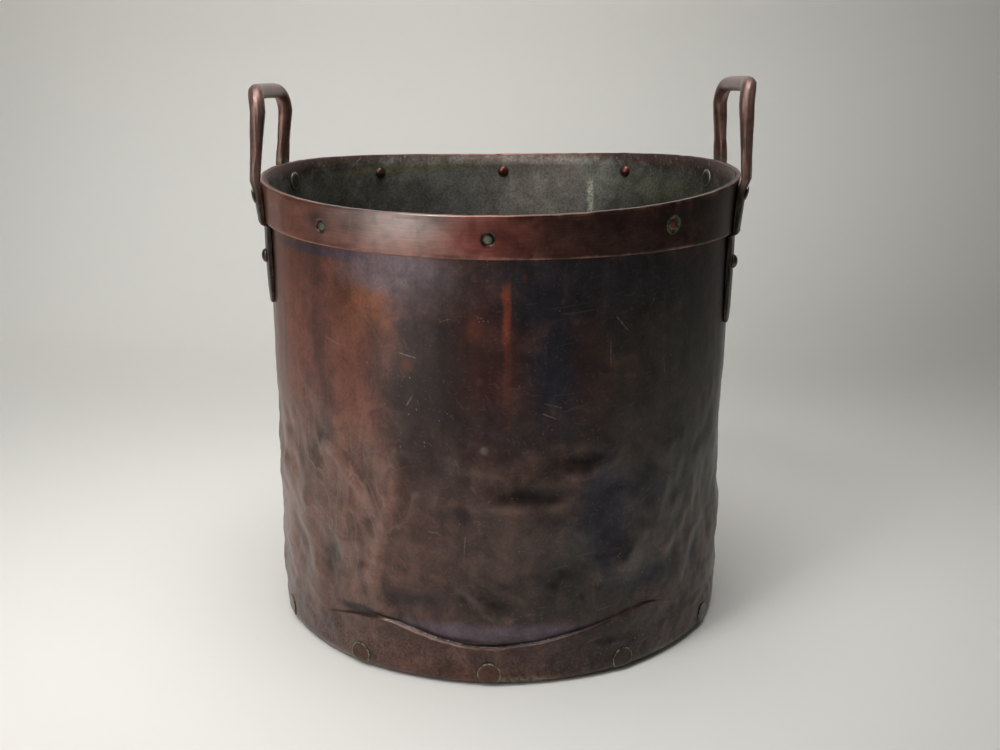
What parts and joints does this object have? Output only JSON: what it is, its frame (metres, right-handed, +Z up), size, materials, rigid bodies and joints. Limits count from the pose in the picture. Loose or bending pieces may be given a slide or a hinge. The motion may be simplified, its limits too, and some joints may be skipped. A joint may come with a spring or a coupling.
{
  "type": "brew kettle",
  "caption": "Open cylindrical copper brew kettle with a riveted base, a hooped rim and two upright loop handles for lifting or carrying on a pole.",
  "frame": {"origin": "on the floor at the centre of the standing ring", "axes": "+Z up, -Y towards the front, +X towards the right handle"},
  "size_m": [0.4597, 0.4491, 0.5144],
  "materials": {
    "body_copper": "dark brown patina, scuffed",
    "tinned_copper": "dull worn tinning",
    "hoop_copper": "reddish brown, satin",
    "handle_copper": "smooth brown, handled",
    "rivet_copper": "hammered, worn",
    "base_rivet_copper": "hammered flat, verdigris round the edge"
  },
  "bodies": {
    "root": {"body_shell": "body_copper", "base_pan": "tinned_copper", "rim_hoop": "hoop_copper", "handle_left": "handle_copper", "handle_right": "handle_copper", "hoop_rivet_1": "rivet_copper", "hoop_rivet_2": "rivet_copper", "hoop_rivet_3": "rivet_copper", "hoop_rivet_4": "rivet_copper", "hoop_rivet_5": "rivet_copper", "hoop_rivet_6": "rivet_copper", "handle_left_front_shoulder_rivet": "rivet_copper", "handle_left_front_strap_rivet": "rivet_copper", "handle_left_rear_shoulder_rivet": "rivet_copper", "handle_left_rear_strap_rivet": "rivet_copper", "handle_right_front_shoulder_rivet": "rivet_copper", "handle_right_front_strap_rivet": "rivet_copper", "handle_right_rear_shoulder_rivet": "rivet_copper", "handle_right_rear_strap_rivet": "rivet_copper", "base_rivet_01": "base_rivet_copper", "base_rivet_02": "base_rivet_copper", "base_rivet_03": "base_rivet_copper", "base_rivet_04": "base_rivet_copper", "base_rivet_05": "base_rivet_copper", "base_rivet_06": "base_rivet_copper", "base_rivet_07": "base_rivet_copper", "base_rivet_08": "base_rivet_copper", "base_rivet_09": "base_rivet_copper", "base_rivet_10": "base_rivet_copper", "base_rivet_11": "base_rivet_copper"}
  },
  "joints": []
}
